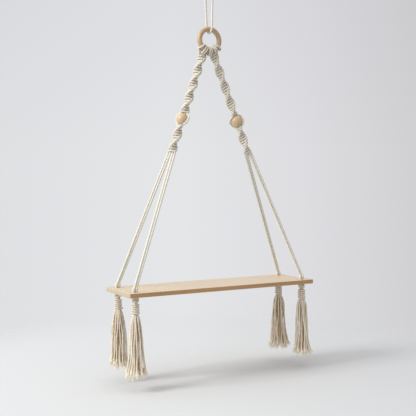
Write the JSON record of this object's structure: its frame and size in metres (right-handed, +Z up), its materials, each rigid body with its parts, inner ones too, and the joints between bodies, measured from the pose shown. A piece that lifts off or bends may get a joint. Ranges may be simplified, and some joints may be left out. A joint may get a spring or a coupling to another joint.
{
  "type": "hanging rope shelf",
  "caption": "Wooden board hung at its corners from knotted cotton cords that pass beads and meet in a wooden ring, with a tassel under each corner.",
  "frame": {"origin": "the hook's place: the inner top of the hanging loop", "axes": "+X along the board to the right, +Y to the back, +Z up"},
  "size_m": [0.5, 0.15, 0.918],
  "materials": {
    "cotton": "soft twisted cotton cord",
    "knotted_cotton": "knotted cotton cord",
    "board_wood": "pale oiled birch",
    "ring_wood": "smooth turned wood",
    "bead_wood": "smooth turned wood"
  },
  "bodies": {
    "hook_loop": {"hanging_loop": "cotton"},
    "upper_strands": {"hanging_strand_front": "cotton", "hanging_strand_back": "cotton"},
    "bight": {"hanging_bight": "cotton"},
    "ring": {"hanging_ring": "ring_wood", "left_inner_larks_head": "knotted_cotton", "left_outer_larks_head": "knotted_cotton", "right_inner_larks_head": "knotted_cotton", "right_outer_larks_head": "knotted_cotton"},
    "legs": {"left_upper_sennit": "knotted_cotton", "left_lower_sennit": "knotted_cotton", "left_bead_filler_a": "cotton", "left_bead_cord_a": "cotton", "left_bead_filler_b": "cotton", "left_bead_cord_b": "cotton", "right_upper_sennit": "knotted_cotton", "right_lower_sennit": "knotted_cotton", "right_bead_filler_a": "cotton", "right_bead_cord_a": "cotton", "right_bead_filler_b": "cotton", "right_bead_cord_b": "cotton"},
    "left_bead": {"left_bead": "bead_wood"},
    "right_bead": {"right_bead": "bead_wood"},
    "shelf": {"shelf_board": "board_wood", "front_left_carrying_cord_a": "cotton", "front_left_carrying_cord_b": "cotton", "front_left_stop_knot": "knotted_cotton", "back_left_carrying_cord_a": "cotton", "back_left_carrying_cord_b": "cotton", "back_left_stop_knot": "knotted_cotton", "front_right_carrying_cord_a": "cotton", "front_right_carrying_cord_b": "cotton", "front_right_stop_knot": "knotted_cotton", "back_right_carrying_cord_a": "cotton", "back_right_carrying_cord_b": "cotton", "back_right_stop_knot": "knotted_cotton"},
    "front_left_neck": {"front_left_tassel_neck": "cotton", "front_left_tassel_wrap": "cotton"},
    "front_left_skirt": {"front_left_tassel_skirt": "cotton"},
    "back_left_neck": {"back_left_tassel_neck": "cotton", "back_left_tassel_wrap": "cotton"},
    "back_left_skirt": {"back_left_tassel_skirt": "cotton"},
    "front_right_neck": {"front_right_tassel_neck": "cotton", "front_right_tassel_wrap": "cotton"},
    "front_right_skirt": {"front_right_tassel_skirt": "cotton"},
    "back_right_neck": {"back_right_tassel_neck": "cotton", "back_right_tassel_wrap": "cotton"},
    "back_right_skirt": {"back_right_tassel_skirt": "cotton"}
  },
  "joints": [
    {"name": "loop_swing", "type": "hinge", "parent": "hook_loop", "child": "upper_strands", "pos_m": [0, 0, -0.012], "axis": [1, 0, 0], "range_deg": [-15, 15]},
    {"name": "cord_twist", "type": "hinge", "parent": "upper_strands", "child": "bight", "pos_m": [0, 0, -0.055], "axis": [0, 0, 1], "range_deg": [-60, 60]},
    {"name": "ring_turn", "type": "hinge", "parent": "bight", "child": "ring", "pos_m": [0, 0, -0.124], "axis": [0, 1, 0], "range_deg": [-20, 20]},
    {"name": "legs_swing", "type": "hinge", "parent": "ring", "child": "legs", "pos_m": [0, 0.0063, -0.17], "axis": [1, 0, 0], "range_deg": [-12, 12]},
    {"name": "left_bead_turn", "type": "hinge", "parent": "legs", "child": "left_bead", "pos_m": [-0.07577, 0.00227, -0.319], "axis": [0.3532, 0.0253, 0.9352], "continuous": true},
    {"name": "right_bead_turn", "type": "hinge", "parent": "legs", "child": "right_bead", "pos_m": [0.07577, 0.00227, -0.319], "axis": [-0.3532, 0.0253, 0.9352], "continuous": true},
    {"name": "shelf_rock", "type": "hinge", "parent": "legs", "child": "shelf", "pos_m": [0, 0, -0.403], "axis": [1, 0, 0], "range_deg": [-12, 12]},
    {"name": "front_left_tassel_sway", "type": "hinge", "parent": "shelf", "child": "front_left_neck", "pos_m": [-0.228, -0.053, -0.7451], "axis": [0, 1, 0], "range_deg": [-20, 20]},
    {"name": "front_left_skirt_swing", "type": "hinge", "parent": "front_left_neck", "child": "front_left_skirt", "pos_m": [-0.228, -0.053, -0.779], "axis": [1, 0, 0], "range_deg": [-12, 12]},
    {"name": "back_left_tassel_sway", "type": "hinge", "parent": "shelf", "child": "back_left_neck", "pos_m": [-0.228, 0.053, -0.7451], "axis": [0, 1, 0], "range_deg": [-20, 20]},
    {"name": "back_left_skirt_swing", "type": "hinge", "parent": "back_left_neck", "child": "back_left_skirt", "pos_m": [-0.228, 0.053, -0.779], "axis": [1, 0, 0], "range_deg": [-12, 12]},
    {"name": "front_right_tassel_sway", "type": "hinge", "parent": "shelf", "child": "front_right_neck", "pos_m": [0.228, -0.053, -0.7451], "axis": [0, 1, 0], "range_deg": [-20, 20]},
    {"name": "front_right_skirt_swing", "type": "hinge", "parent": "front_right_neck", "child": "front_right_skirt", "pos_m": [0.228, -0.053, -0.779], "axis": [1, 0, 0], "range_deg": [-12, 12]},
    {"name": "back_right_tassel_sway", "type": "hinge", "parent": "shelf", "child": "back_right_neck", "pos_m": [0.228, 0.053, -0.7451], "axis": [0, 1, 0], "range_deg": [-20, 20]},
    {"name": "back_right_skirt_swing", "type": "hinge", "parent": "back_right_neck", "child": "back_right_skirt", "pos_m": [0.228, 0.053, -0.779], "axis": [1, 0, 0], "range_deg": [-12, 12]}
  ]
}
